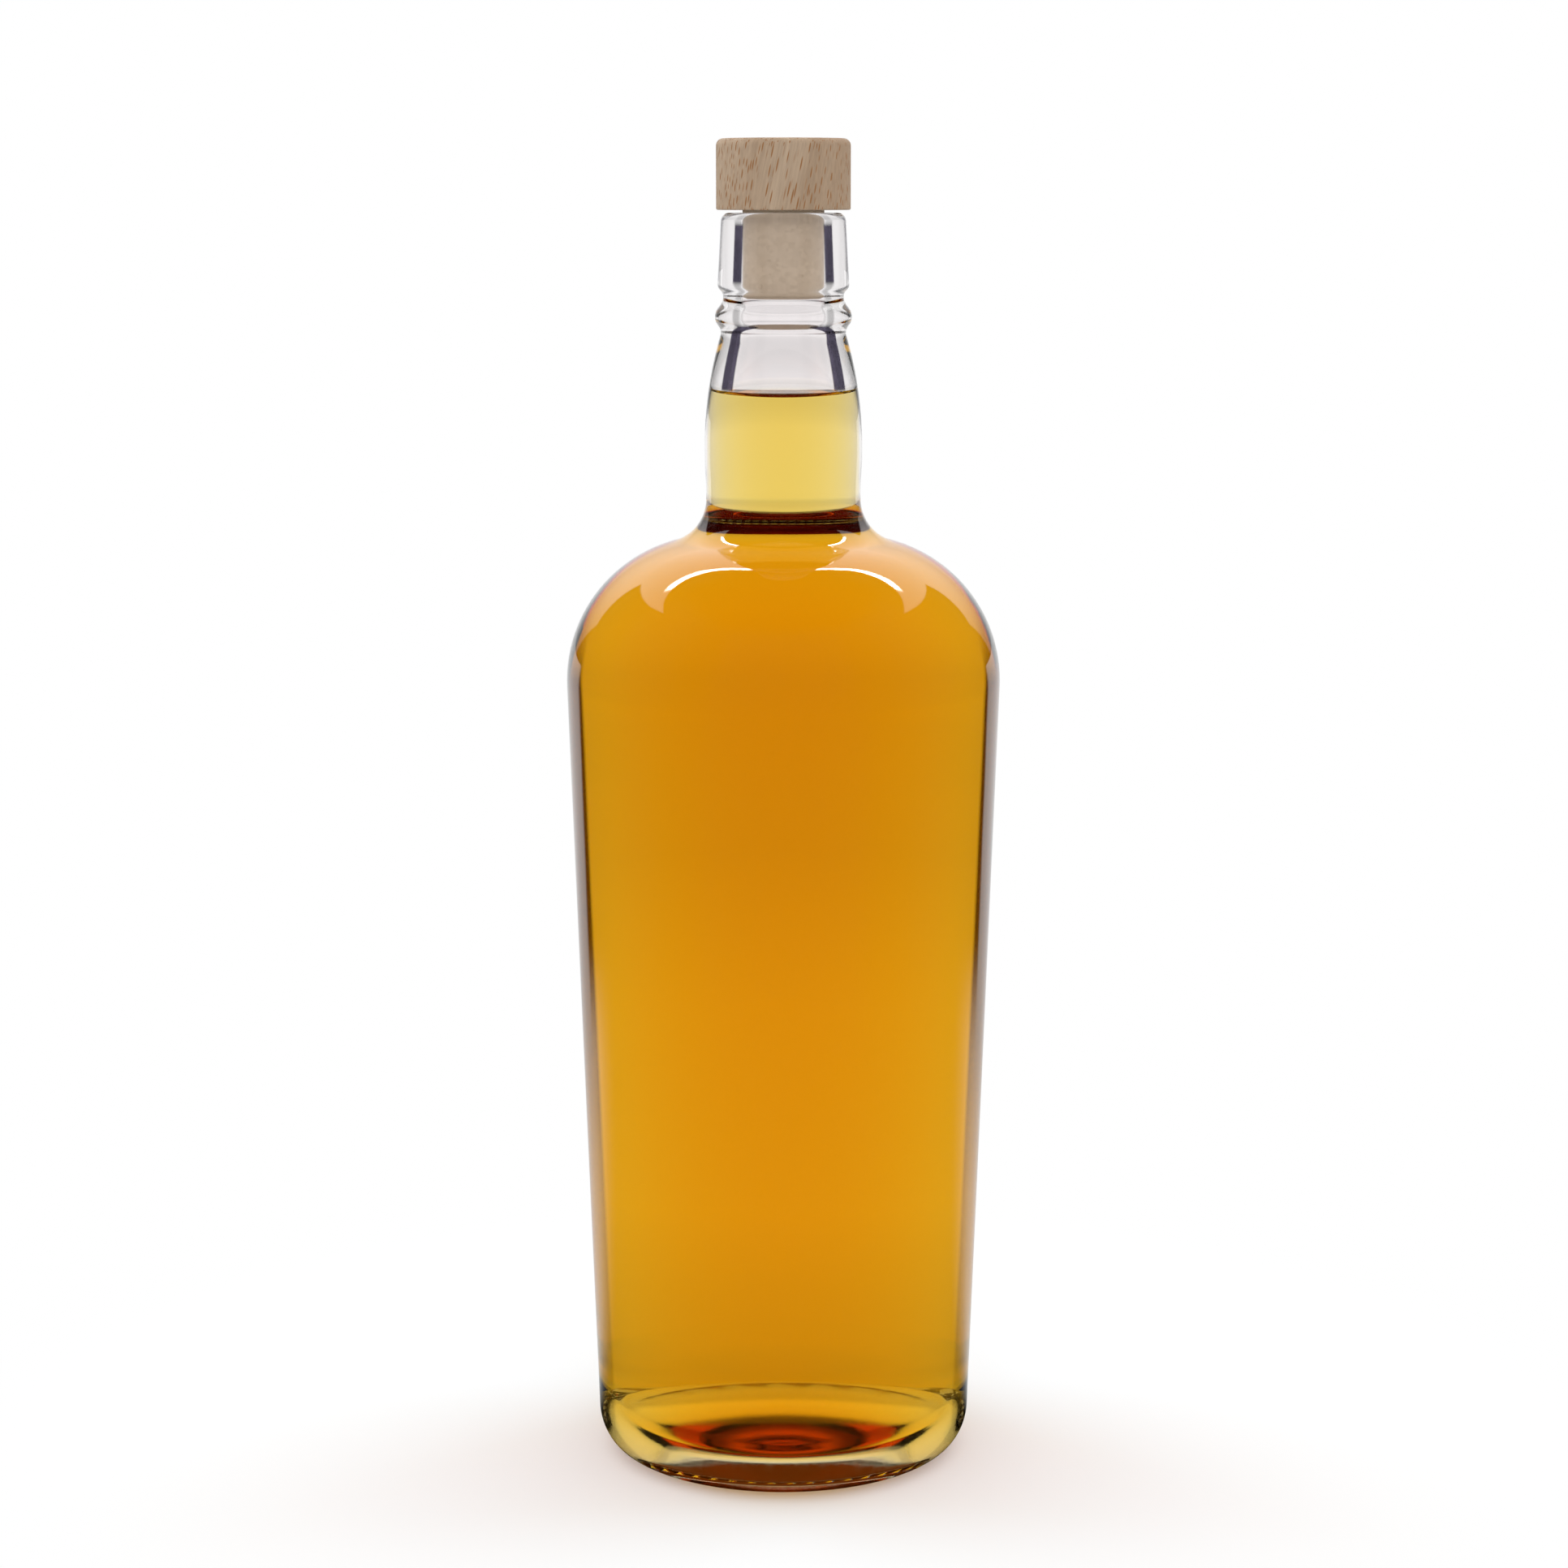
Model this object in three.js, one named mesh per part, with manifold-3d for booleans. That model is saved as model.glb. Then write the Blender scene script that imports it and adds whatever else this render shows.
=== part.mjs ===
// One-litre glass spirits bottle with a wooden-headed cork stopper, filled to the neck.
// Millimetres, +Z up. The origin is on the bottle's axis, in the plane that it stands on.
import * as THREE from 'three';
import { mergeVertices } from 'three/addons/utils/BufferGeometryUtils.js';
import Module from 'manifold-3d';

// Glass, base and body, outside
const bearingRadius = 33.0; // middle of the ring that the bottle stands on
const bearingWidth = 4.6; // width of that ring
const heelHeight = 10.0; // height of the rounded heel
const footRadius = 42.35; // body at the top of the heel
const widestRadius = 48.3; // body at the root of the shoulder
const widestHeight = 177.0; // height of the widest section
const shoulderArc = 32.0; // radius of the rounded shoulder
const puntRadius = 25.0; // broad top of the hollow under the base
const puntHeight = 6.8; // height of the hollow at the edge of its top
const puntCrown = 6.0; // further rise to the middle

// Knurled pads under the bearing ring
const padCount = 48;
const padLength = 4.8;
const padBreadth = 2.5;
const padHeight = 0.4;
const padDraft = 0.35; // how far each side of a pad leans in over its height
const padSlant = 35; // degrees off the radial direction
const padRoot = 0.5; // depth to which a pad runs into the ring
const padSides = 6;

// Glass, neck, outside. Each height is measured from the end of the stretch below it.
const neckFillet = 10.0;
const waistRadius = 17.1;
const bulgeRadius = 17.4;
const bulgeRise = 11.4;
const taperHeight = 24.8;
const collarGrooveRadius = 13.75;
const beadRadius = 15.05;
const beadLowerHeight = 3.6;
const beadUpperHeight = 4.5;
const finishGrooveRadius = 13.25;
const finishLedgeHeight = 2.6;
const finishLowerRadius = 14.45;
const finishUpperRadius = 13.7;
const finishHeight = 15.5;
const lipOuterRound = 1.8;

// Glass, inside
const boreRadius = 9.25;
const boreLength = 21.8;
const lipInnerRound = 0.9;
const boreOpening = 16.2; // height of the cone by which the bore widens into the neck
const neckInnerRadius = 12.4;
const neckInnerFillet = 12.0;
const shoulderWall = 3.4;
const footWall = 4.0;
const floorThickness = 3.6; // glass under the lowest ring of the floor
const floorCorner = 5.5; // radius where the wall turns into the floor
const floorRadius = 27.5; // pushed-up middle of the floor
const floorStep = 6.8; // rise from the lowest ring to the pushed-up middle
const floorCrown = 6.2; // further rise to the axis

// Liquid
const fillDepth = 39.8; // brim to the middle of the surface
const liquidGap = 0.3; // clearance to the glass
const meniscusRise = 1.0;
const meniscusWidth = 2.4;

// Stopper
const headRadius = 14.72;
const headHeight = 15.4;
const headTopRound = 1.6;
const headLowerRound = 0.4;
const headSeat = 0.6; // brim to the head's underside
const socketDepth = 6.0;
const shankGap = 0.3; // clearance of the shank in the bore and in the head
const shankReach = 18.7; // depth of the shank below the brim
const shankChamfer = 1.0;

// Fineness of the turned forms
const turns = 48;
const arcStep = THREE.MathUtils.degToRad(15);

// Heights that follow from the sizes above
const arcCentre = new THREE.Vector2(widestRadius - shoulderArc, widestHeight);
const waistHeight = filletHeight(shoulderArc, neckFillet, waistRadius);
const bulgeHeight = waistHeight + bulgeRise;
const collarGrooveHeight = bulgeHeight + taperHeight;
const beadHeight = collarGrooveHeight + beadLowerHeight;
const finishGrooveHeight = beadHeight + beadUpperHeight;
const finishLedge = finishGrooveHeight + finishLedgeHeight;
const brimHeight = finishLedge + finishHeight;
const fillHeight = brimHeight - fillDepth;
const headUnderside = brimHeight + headSeat;
const headTop = headUnderside + headHeight;
const shankRadius = boreRadius - shankGap;
const shankBottom = brimHeight - shankReach;
const shankTop = headUnderside + socketDepth - shankGap;

// Height of the centre of a fillet that touches the shoulder arc and an upright neck wall.
function filletHeight(arc, fillet, wallRadius) {
  const across = wallRadius + fillet - arcCentre.x;
  return arcCentre.y + Math.sqrt((arc + fillet) ** 2 - across ** 2);
}

// A turned outline, as points of radius and height, drawn stretch by stretch.
class Outline {
  constructor(radius, height) {
    this.points = [new THREE.Vector2(radius, height)];
  }

  get last() {
    return this.points[this.points.length - 1];
  }

  line(radius, height) {
    this.points.push(new THREE.Vector2(radius, height));
    return this;
  }

  // Arc about a centre, between two directions in radians.
  arc(centreRadius, centreHeight, radius, from, to) {
    const steps = Math.max(2, Math.ceil(Math.abs(to - from) / arcStep));
    for (let i = 0; i <= steps; i += 1) {
      const angle = from + ((to - from) * i) / steps;
      this.meet(
        centreRadius + radius * Math.cos(angle),
        centreHeight + radius * Math.sin(angle)
      );
    }
    return this;
  }

  // Quarter of an ellipse that leaves along the radius and ends upright.
  quarter(radius, height, steps) {
    const start = this.last.clone();
    for (let i = 1; i <= steps; i += 1) {
      const angle = (Math.PI / 2) * (i / steps);
      this.line(
        start.x + (radius - start.x) * Math.sin(angle),
        start.y + (height - start.y) * (1 - Math.cos(angle))
      );
    }
    return this;
  }

  // Flowing stretch with level ends.
  slope(radius, height, steps) {
    const start = this.last.clone();
    for (let i = 1; i <= steps; i += 1) {
      const t = i / steps;
      const ease = 3 * t ** 2 - 2 * t ** 3;
      this.line(start.x + (radius - start.x) * t, start.y + (height - start.y) * ease);
    }
    return this;
  }

  // Flowing stretch with upright ends.
  swell(radius, height, steps) {
    const start = this.last.clone();
    const middle = (start.y + height) / 2;
    const curve = new THREE.CubicBezierCurve(
      start,
      new THREE.Vector2(start.x, middle),
      new THREE.Vector2(radius, middle),
      new THREE.Vector2(radius, height)
    );
    curve.getPoints(steps).slice(1).forEach((p) => this.points.push(p));
    return this;
  }

  // Arc that leaves upright and ends at a point.
  bow(radius, height, steps) {
    const start = this.last.clone();
    const inward = start.x - radius;
    const rise = height - start.y;
    const curve = (rise ** 2 + inward ** 2) / (2 * inward);
    const sweep = Math.asin(rise / curve);
    for (let i = 1; i <= steps; i += 1) {
      const angle = (sweep * i) / steps;
      this.line(start.x - curve * (1 - Math.cos(angle)), start.y + curve * Math.sin(angle));
    }
    return this;
  }

  // Shallow dome from here to the axis.
  dome(height, steps) {
    const start = this.last.clone();
    const rise = height - start.y;
    const radius = (start.x ** 2 + rise ** 2) / (2 * rise);
    const sweep = Math.asin(start.x / radius);
    for (let i = 1; i <= steps; i += 1) {
      const angle = sweep * (1 - i / steps);
      this.line(radius * Math.sin(angle), height - radius * (1 - Math.cos(angle)));
    }
    return this;
  }

  // The same outline, drawn from its other end.
  reversed() {
    this.points.reverse();
    return this;
  }

  // Goes on along another outline.
  follow(other) {
    other.points.forEach((p) => this.meet(p.x, p.y));
    return this;
  }

  // Adds a point unless the outline is there already.
  meet(radius, height) {
    const point = new THREE.Vector2(radius, height);
    if (this.last.distanceTo(point) > 0.01) this.points.push(point);
  }

  turned() {
    return new THREE.LatheGeometry(this.points, turns).rotateX(Math.PI / 2);
  }
}

// Direction, from the shoulder arc's centre, of the line that touches the arc and runs down to a point.
function tangentDirection(radius, height, arc) {
  const away = new THREE.Vector2(radius, height).sub(arcCentre);
  return Math.atan2(away.y, away.x) + Math.acos(arc / away.length());
}

// Angle, from the shoulder arc's centre, of the point where a neck fillet leaves the arc.
function filletDirection(fillet, wallRadius, height) {
  return Math.atan2(height - arcCentre.y, wallRadius + fillet - arcCentre.x);
}

// Body and shoulder up to the neck: a straight taper, the shoulder arc and the neck fillet.
function shoulderOutline(outline, arc, fillet, wallRadius) {
  const foot = outline.last;
  const from = tangentDirection(foot.x, foot.y, arc);
  const height = filletHeight(arc, fillet, wallRadius);
  const to = filletDirection(fillet, wallRadius, height);
  outline.arc(arcCentre.x, arcCentre.y, arc, from, to);
  outline.arc(wallRadius + fillet, height, fillet, to - Math.PI, -Math.PI);
  return outline;
}

// Inside of the glass, from the floor's middle to the neck, drawn a gap clear of the wall.
function cavityOutline(gap) {
  const floorHeight = floorThickness + gap;
  const corner = floorCorner - gap;
  const wallRadius = footRadius - footWall - gap;
  const outline = new Outline(floorRadius + gap, floorHeight + floorStep)
    .dome(floorHeight + floorStep + floorCrown, 3)
    .reversed()
    .slope(wallRadius - corner, floorHeight, 4)
    .quarter(wallRadius, floorHeight + corner, 4);
  return shoulderOutline(
    outline,
    shoulderArc - shoulderWall - gap,
    neckInnerFillet + gap,
    neckInnerRadius - gap
  );
}

function glassOutline() {
  const ringInner = bearingRadius - bearingWidth / 2;
  const outline = new Outline(puntRadius, puntHeight)
    .dome(puntHeight + puntCrown, 3)
    .reversed()
    .slope(ringInner, padHeight, 4)
    .line(bearingRadius + bearingWidth / 2, padHeight)
    .quarter(footRadius, heelHeight, 4);
  return shoulderOutline(outline, shoulderArc, neckFillet, waistRadius)
    .swell(bulgeRadius, bulgeHeight, 3)
    .bow(collarGrooveRadius, collarGrooveHeight, 4)
    .swell(beadRadius, beadHeight, 4)
    .swell(finishGrooveRadius, finishGrooveHeight, 4)
    .swell(finishLowerRadius, finishLedge, 3)
    .arc(
      finishUpperRadius - lipOuterRound,
      brimHeight - lipOuterRound,
      lipOuterRound,
      0,
      Math.PI / 2
    )
    .arc(boreRadius + lipInnerRound, brimHeight - lipInnerRound, lipInnerRound, Math.PI / 2, Math.PI)
    .line(boreRadius, brimHeight - boreLength)
    .line(neckInnerRadius, brimHeight - boreLength - boreOpening)
    .follow(cavityOutline(0).reversed());
}

// A closed geometry as a solid that can be joined and cut.
const wasm = await Module();
wasm.setup();

function toSolid(geometry) {
  const bare = geometry.clone();
  bare.deleteAttribute('normal');
  bare.deleteAttribute('uv');
  const merged = mergeVertices(bare, 1e-4);
  const corners = [];
  for (let i = 0; i < merged.index.count; i += 3) {
    const [a, b, c] = [0, 1, 2].map((k) => merged.index.getX(i + k));
    if (a !== b && b !== c && c !== a) corners.push(a, b, c);
  }
  return new wasm.Manifold(
    new wasm.Mesh({
      numProp: 3,
      vertProperties: new Float32Array(merged.attributes.position.array),
      triVerts: new Uint32Array(corners),
    })
  );
}

function toGeometry(solid) {
  const mesh = solid.getMesh();
  const geometry = new THREE.BufferGeometry();
  geometry.setAttribute('position', new THREE.BufferAttribute(mesh.vertProperties, mesh.numProp));
  geometry.setIndex(new THREE.BufferAttribute(mesh.triVerts, 1));
  geometry.computeVertexNormals();
  return geometry;
}

// One knurl pad: an oval with drafted sides and a flat foot, set at a slant on the bearing ring.
function padGeometry(index) {
  const height = padHeight + padRoot;
  const rootGrowth = (padDraft * height) / padHeight;
  const pad = new THREE.CylinderGeometry(0.5 + rootGrowth / padBreadth, 0.5, height, padSides);
  pad.rotateX(Math.PI / 2);
  pad.scale(padLength, padBreadth, 1);
  pad.rotateZ(THREE.MathUtils.degToRad(padSlant));
  pad.translate(bearingRadius, 0, height / 2);
  pad.rotateZ((index / padCount) * 2 * Math.PI);
  return pad;
}

function bottleGeometry() {
  let solid = toSolid(glassOutline().turned());
  for (let i = 0; i < padCount; i += 1) solid = solid.add(toSolid(padGeometry(i)));
  return toGeometry(solid);
}

function liquidGeometry() {
  const edge = neckInnerRadius - liquidGap;
  const meniscus = new Outline(edge - meniscusWidth, fillHeight)
    .quarter(edge, fillHeight + meniscusRise, 4)
    .reversed();
  return cavityOutline(liquidGap).follow(meniscus).line(0, fillHeight).turned();
}

function shankGeometry() {
  return new Outline(0, shankBottom)
    .line(shankRadius - shankChamfer, shankBottom)
    .line(shankRadius, shankBottom + shankChamfer)
    .line(shankRadius, shankTop)
    .line(0, shankTop)
    .turned();
}

function headGeometry() {
  const socketRadius = shankRadius + shankGap;
  const socketTop = headUnderside + socketDepth;
  return new Outline(0, socketTop)
    .line(socketRadius, socketTop)
    .line(socketRadius, headUnderside)
    .arc(headRadius - headLowerRound, headUnderside + headLowerRound, headLowerRound, -Math.PI / 2, 0)
    .arc(headRadius - headTopRound, headTop - headTopRound, headTopRound, 0, Math.PI / 2)
    .line(0, headTop)
    .turned();
}

function piece(name, geometry, colour, roughness, settings = {}) {
  const material = new THREE.MeshStandardMaterial({ color: colour, roughness, metalness: 0, ...settings });
  const mesh = new THREE.Mesh(geometry, material);
  mesh.name = name;
  return mesh;
}

const bottle = new THREE.Group();
bottle.add(piece('glass_bottle', bottleGeometry(), 0xdfe0dd, 0.05, { transparent: true, opacity: 0.35 }));
bottle.add(piece('amber_spirit', liquidGeometry(), 0xd98a08, 0.05, { transparent: true, opacity: 0.8 }));

const stopper = new THREE.Group();
stopper.add(piece('cork_shank', shankGeometry(), 0xb7a285, 0.85));
stopper.add(piece('wooden_head', headGeometry(), 0xae967c, 0.6));

const part = new THREE.Group();
part.add(bottle, stopper);

export default part;
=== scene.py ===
"""A one-litre glass spirits bottle with a wooden-headed cork stopper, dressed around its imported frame."""

import math
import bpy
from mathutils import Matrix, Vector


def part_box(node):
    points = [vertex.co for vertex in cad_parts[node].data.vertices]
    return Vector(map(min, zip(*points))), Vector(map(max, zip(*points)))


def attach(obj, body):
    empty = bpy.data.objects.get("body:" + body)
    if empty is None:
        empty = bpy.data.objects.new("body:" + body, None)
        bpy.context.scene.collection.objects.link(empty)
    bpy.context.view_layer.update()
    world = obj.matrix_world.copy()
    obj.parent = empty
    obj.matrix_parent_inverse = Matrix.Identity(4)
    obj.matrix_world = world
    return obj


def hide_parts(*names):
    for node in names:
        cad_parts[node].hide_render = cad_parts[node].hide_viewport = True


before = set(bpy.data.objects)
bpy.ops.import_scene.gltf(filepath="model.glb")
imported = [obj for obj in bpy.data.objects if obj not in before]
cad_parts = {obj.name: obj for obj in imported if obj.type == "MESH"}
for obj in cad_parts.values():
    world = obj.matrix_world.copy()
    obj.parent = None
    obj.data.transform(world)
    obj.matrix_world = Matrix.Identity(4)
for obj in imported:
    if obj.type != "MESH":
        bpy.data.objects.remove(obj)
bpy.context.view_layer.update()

import bpy
from bpy.props import FloatProperty, FloatVectorProperty, IntProperty, PointerProperty
from bpy.types import Operator, Panel, PropertyGroup
from mathutils import Vector

bl_info = {
    "name": "Spirits bottle",
    "version": (1, 0, 0),
    "blender": (4, 5, 0),
    "location": "View3D > Sidebar > Bottle",
    "description": "Glass bottle with a cork stopper, its amber spirit and a studio for it",
    "category": "Object",
}

GLASS_LOW, GLASS_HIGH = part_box("glass_bottle")
SPIRIT_LOW, SPIRIT_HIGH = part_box("amber_spirit")
SHANK_LOW, SHANK_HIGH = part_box("cork_shank")
HEAD_LOW, HEAD_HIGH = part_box("wooden_head")

MM = 0.001
DEGREES = 180 / math.pi
WHITE = (1.0, 1.0, 1.0, 1.0)

# Fineness of the turned forms
ARC_STEP = math.radians(3.0)
FINE_STEPS = 14
CREASE = math.radians(30)
SAME_PLACE = 0.002 * MM
PAD_SIDES = 16

# How strongly light bends in each clear stuff, and how rough the glass is
AIR_INDEX = 1.0
GLASS_INDEX = 1.52
SPIRIT_INDEX = 1.36
POLISHED = 0.012
PUNT_ROUGHNESS = 0.2

# Painted shade: dark bars painted where the neck and the finish show the dark inner edge of their wall: its
# heights, the blur at their ends, and how far the surface turns from the eye there, from 0 square on to 1
# edge on
NECK_BAR = ((241.2 * MM, 256.5 * MM), 1.0 * MM, (0.26, 0.455))
FINISH_BAR = ((264.0 * MM, 278.5 * MM), 1.4 * MM, (0.22, 0.375))
BAR_BLUR = 0.02
BAR_RADII = (12.7 * MM, 12.9 * MM)

# Painted shade: a dark line painted up either edge of the body: how it starts and ends with height, and
# with the turn from the eye
BODY_LINE_START = (20.0 * MM, 130.0 * MM, 0.45, 1.0)
BODY_LINE_END = (178.0 * MM, 190.0 * MM, 1.0, 0.0)
BODY_LINE_TURN = (0.615, 0.66)

# Depth of the spirit's colour, breadths of the rim of its surface that is painted darker as painted shade,
# and how far that surface lies under the top of the fill
SPIRIT_DENSITY = 80.0
RIM_OUTER, RIM_INNER = 2.0 * MM, 3.4 * MM
SKIN_DROP = 0.01 * MM

# What each clear material lets through of the lamps' light
GLASS_LAMP_TINT = (0.93, 0.93, 0.93)
SPIRIT_LAMP_TINT = (0.95, 0.93, 0.91)
SURFACE_LAMP_TINT = (1, 1, 1)


def length(name, description, default):
    return FloatProperty(
        name=name, description=description, default=default, unit="LENGTH", precision=5
    )


def colour(name, description, default):
    return FloatVectorProperty(
        name=name, description=description, default=default, subtype="COLOR", size=3, min=0.0, max=1.0
    )


class BottleGlassSizes(PropertyGroup):
    """Sizes of the blown glass"""

    turns: IntProperty(name="Turns", description="Faces round the axis", default=192)
    bearing_radius: length("Bearing ring", "Middle of the ring that the bottle stands on", 33.0 * MM)
    bearing_width: length("Bearing width", "Width of the bearing ring", 4.6 * MM)
    heel_height: length("Heel height", "Height of the rounded heel", 10.0 * MM)
    foot_radius: length("Foot radius", "Body radius over the heel", 42.35 * MM)
    widest_radius: length("Widest radius", "Body radius under the shoulder", GLASS_HIGH.x)
    widest_height: length("Widest height", "Height of the widest section", 177.0 * MM)
    shoulder_arc: length("Shoulder arc", "Radius of the rounded shoulder", 32.0 * MM)
    punt_radius: length("Punt radius", "Broad top of the hollow under the base", 25.0 * MM)
    punt_height: length("Punt height", "Height of the hollow at the edge of its top", 6.8 * MM)
    punt_crown: length("Punt crown", "Further rise to the middle", 6.0 * MM)
    neck_fillet: length("Neck fillet", "Radius between shoulder and neck", 10.0 * MM)
    waist_radius: length("Waist", "Radius of the neck over the shoulder", 17.1 * MM)
    bulge_radius: length("Bulge", "Radius of the neck's bulge", 17.4 * MM)
    bulge_rise: length("Bulge rise", "Waist to bulge", 11.4 * MM)
    taper_height: length("Taper", "Bulge to the groove under the bead", 24.8 * MM)
    collar_groove: length("Lower groove", "Radius of the groove under the bead", 13.75 * MM)
    bead_radius: length("Bead", "Radius of the bead's crest", 15.05 * MM)
    bead_lower: length("Bead, lower side", "Groove to crest", 3.6 * MM)
    bead_upper: length("Bead, upper side", "Crest to groove", 4.5 * MM)
    finish_groove: length("Upper groove", "Radius of the groove over the bead", 13.25 * MM)
    ledge_height: length("Ledge", "Groove to the finish's lower edge", 2.6 * MM)
    finish_lower: length("Finish, lower radius", "Radius of the finish at its lower edge", 14.45 * MM)
    finish_upper: length("Finish, upper radius", "Radius of the finish at the lip", 13.7 * MM)
    lip_outer: length("Lip, outer round", "Rounding outside the brim", 1.8 * MM)
    lip_inner: length("Lip, inner round", "Rounding inside the brim", 0.9 * MM)
    bore_radius: length("Bore", "Radius of the bore", 9.25 * MM)
    bore_length: length("Bore length", "Length of the straight bore", 21.8 * MM)
    bore_opening: length("Bore opening", "Height of the cone by which the bore widens", 16.2 * MM)
    neck_inner: length("Neck, inside", "Inner radius of the neck", 12.4 * MM)
    neck_inner_fillet: length("Inner neck fillet", "Inner radius between shoulder and neck", 12.0 * MM)
    shoulder_wall: length("Shoulder wall", "Glass thickness at the shoulder", 3.4 * MM)
    foot_wall: length("Foot wall", "Glass thickness over the heel", 4.0 * MM)
    floor_thickness: length("Floor", "Glass under the lowest ring of the floor", 3.6 * MM)
    floor_corner: length("Floor corner", "Radius between wall and floor", 5.5 * MM)
    floor_radius: length("Floor radius", "Pushed-up middle of the floor", 27.5 * MM)
    floor_step: length("Floor step", "Rise from the lowest ring to the middle", 6.8 * MM)
    floor_crown: length("Floor crown", "Further rise to the axis", 6.2 * MM)


class BottlePadSizes(PropertyGroup):
    """Sizes of the knurled pads under the bearing ring"""

    count: IntProperty(name="Pads", description="Pads round the ring", default=48)
    size: length("Length", "Length of a pad", 4.8 * MM)
    breadth: length("Breadth", "Breadth of a pad's foot", 2.5 * MM)
    height: length("Height", "How far a pad stands below the ring", 0.4 * MM)
    draft: length("Draft", "Lean of a pad's sides over its height", 0.35 * MM)
    root: length("Root", "Depth to which a pad runs into the ring", 0.3 * MM)
    slant: FloatProperty(
        name="Slant",
        description="Angle off the radial direction",
        default=math.radians(35),
        subtype="ANGLE",
    )


class BottleSpiritSizes(PropertyGroup):
    """Sizes of the liquid"""

    wetting: length("Wetting", "Depth to which the liquid's skin lies in the glass", 0.05 * MM)
    meniscus_rise: length("Meniscus rise", "Climb of the surface at the glass", 1.4 * MM)
    meniscus_width: length("Meniscus width", "Breadth of the climbing edge", 4.4 * MM)


class BottleStopperSizes(PropertyGroup):
    """Sizes of the cork shank and the wooden head"""

    shank_chamfer: length("Shank chamfer", "Chamfer at the shank's end", 1.0 * MM)
    head_top_round: length("Head, top round", "Rounding of the head's top edge", 1.6 * MM)
    head_lower_round: length("Head, lower round", "Rounding of the head's lower edge", 0.4 * MM)
    socket_depth: length("Socket", "Depth of the socket in the head", 6.0 * MM)
    socket_gap: length("Socket gap", "Clearance round the shank in its socket", 0.3 * MM)


class BottleColours(PropertyGroup):
    """Colours of the bottle, its spirit and its stopper"""

    glass: colour("Glass", "Tint of the clear glass", (0.990, 0.965, 0.967))
    # Painted shade: the dark colour painted where the glass is seen edge on, for the line up the body's
    # edges
    painted_edge_shade: colour("Glass edge", "Tint of the glass where it is seen edge on", (0.05, 0.025, 0.02))
    # Painted shade: the near-black colour painted into the dark bars of the neck and the finish
    painted_bar_shade: colour("Glass bar", "Tint of the wall's dark inner edge in the neck", (0.015, 0.012, 0.025))
    spirit: colour("Spirit", "What a thick layer of the spirit lets through", (0.980, 0.844, 0.06))
    # Painted shade: the dark colour painted on the underside of the surface's climbing edge
    painted_rim_shade: colour("Spirit, edge", "Tint of the climbing edge of the surface", (0.10, 0.035, 0.008))
    beech_pale: colour("Beech, pale", "Light wood between the rings", (0.455, 0.332, 0.228))
    beech_deep: colour("Beech, deep", "Darker wood of the rings", (0.365, 0.250, 0.160))
    beech_fleck: colour("Beech, flecks", "Short ray flecks", (0.29, 0.130, 0.045))
    cork_pale: colour("Cork, pale", "Ground colour of the cork", (0.78, 0.645, 0.48))
    cork_deep: colour("Cork, deep", "Grains of the cork", (0.57, 0.44, 0.30))
    floor: colour("Floor", "Pale studio floor", (0.84, 0.865, 0.88))
    under_glow: colour(
        "Under glow", "Spirit-coloured light on the floor under the punt", (0.20, 0.040, 0.002)
    )


class Outline:
    """A turned outline, as points of radius and height, drawn stretch by stretch"""

    def __init__(self, radius, height):
        self.points = [(radius, height)]

    def line(self, radius, height):
        last = self.points[-1]
        if math.hypot(last[0] - radius, last[1] - height) > 1e-6:
            self.points.append((radius, height))
        return self

    def arc(self, centre, radius, start, end):
        steps = max(4, math.ceil(abs(end - start) / ARC_STEP))
        for i in range(steps + 1):
            angle = start + (end - start) * i / steps
            self.line(centre[0] + radius * math.cos(angle), centre[1] + radius * math.sin(angle))
        return self

    def quarter(self, radius, height):
        """Quarter of an ellipse that leaves along the radius and ends upright"""
        x, y = self.points[-1]
        for i in range(1, FINE_STEPS + 1):
            angle = math.pi / 2 * i / FINE_STEPS
            self.line(x + (radius - x) * math.sin(angle), y + (height - y) * (1 - math.cos(angle)))
        return self

    def slope(self, radius, height):
        """Flowing stretch with level ends"""
        x, y = self.points[-1]
        for i in range(1, FINE_STEPS + 1):
            t = i / FINE_STEPS
            self.line(x + (radius - x) * t, y + (height - y) * (3 * t**2 - 2 * t**3))
        return self

    def swell(self, radius, height):
        """Flowing stretch with upright ends"""
        x, y = self.points[-1]
        for i in range(1, FINE_STEPS + 1):
            t = i / FINE_STEPS
            ease = 3 * t**2 - 2 * t**3
            rise = 1.5 * t * (1 - t) ** 2 + 1.5 * t**2 * (1 - t) + t**3
            self.line(x + (radius - x) * ease, y + (height - y) * rise)
        return self

    def bow(self, radius, height):
        """Arc that leaves upright and ends at a point"""
        x, y = self.points[-1]
        inward, rise = x - radius, height - y
        curve = (rise**2 + inward**2) / (2 * inward)
        sweep = math.asin(rise / curve)
        for i in range(1, FINE_STEPS + 1):
            angle = sweep * i / FINE_STEPS
            self.line(x - curve * (1 - math.cos(angle)), y + curve * math.sin(angle))
        return self

    def dome(self, height):
        """Shallow dome from here to the axis"""
        x, y = self.points[-1]
        rise = height - y
        curve = (x**2 + rise**2) / (2 * rise)
        sweep = math.asin(x / curve)
        for i in range(1, FINE_STEPS + 1):
            angle = sweep * (1 - i / FINE_STEPS)
            self.line(curve * math.sin(angle), height - curve * (1 - math.cos(angle)))
        return self

    def reversed(self):
        self.points.reverse()
        return self

    def follow(self, other):
        for radius, height in other.points:
            self.line(radius, height)
        return self


def fillet_height(sizes, arc, fillet, wall):
    """Height of the centre of a fillet that touches the shoulder arc and an upright neck wall"""
    across = wall + fillet - (sizes.widest_radius - sizes.shoulder_arc)
    return sizes.widest_height + math.sqrt((arc + fillet) ** 2 - across**2)


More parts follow.
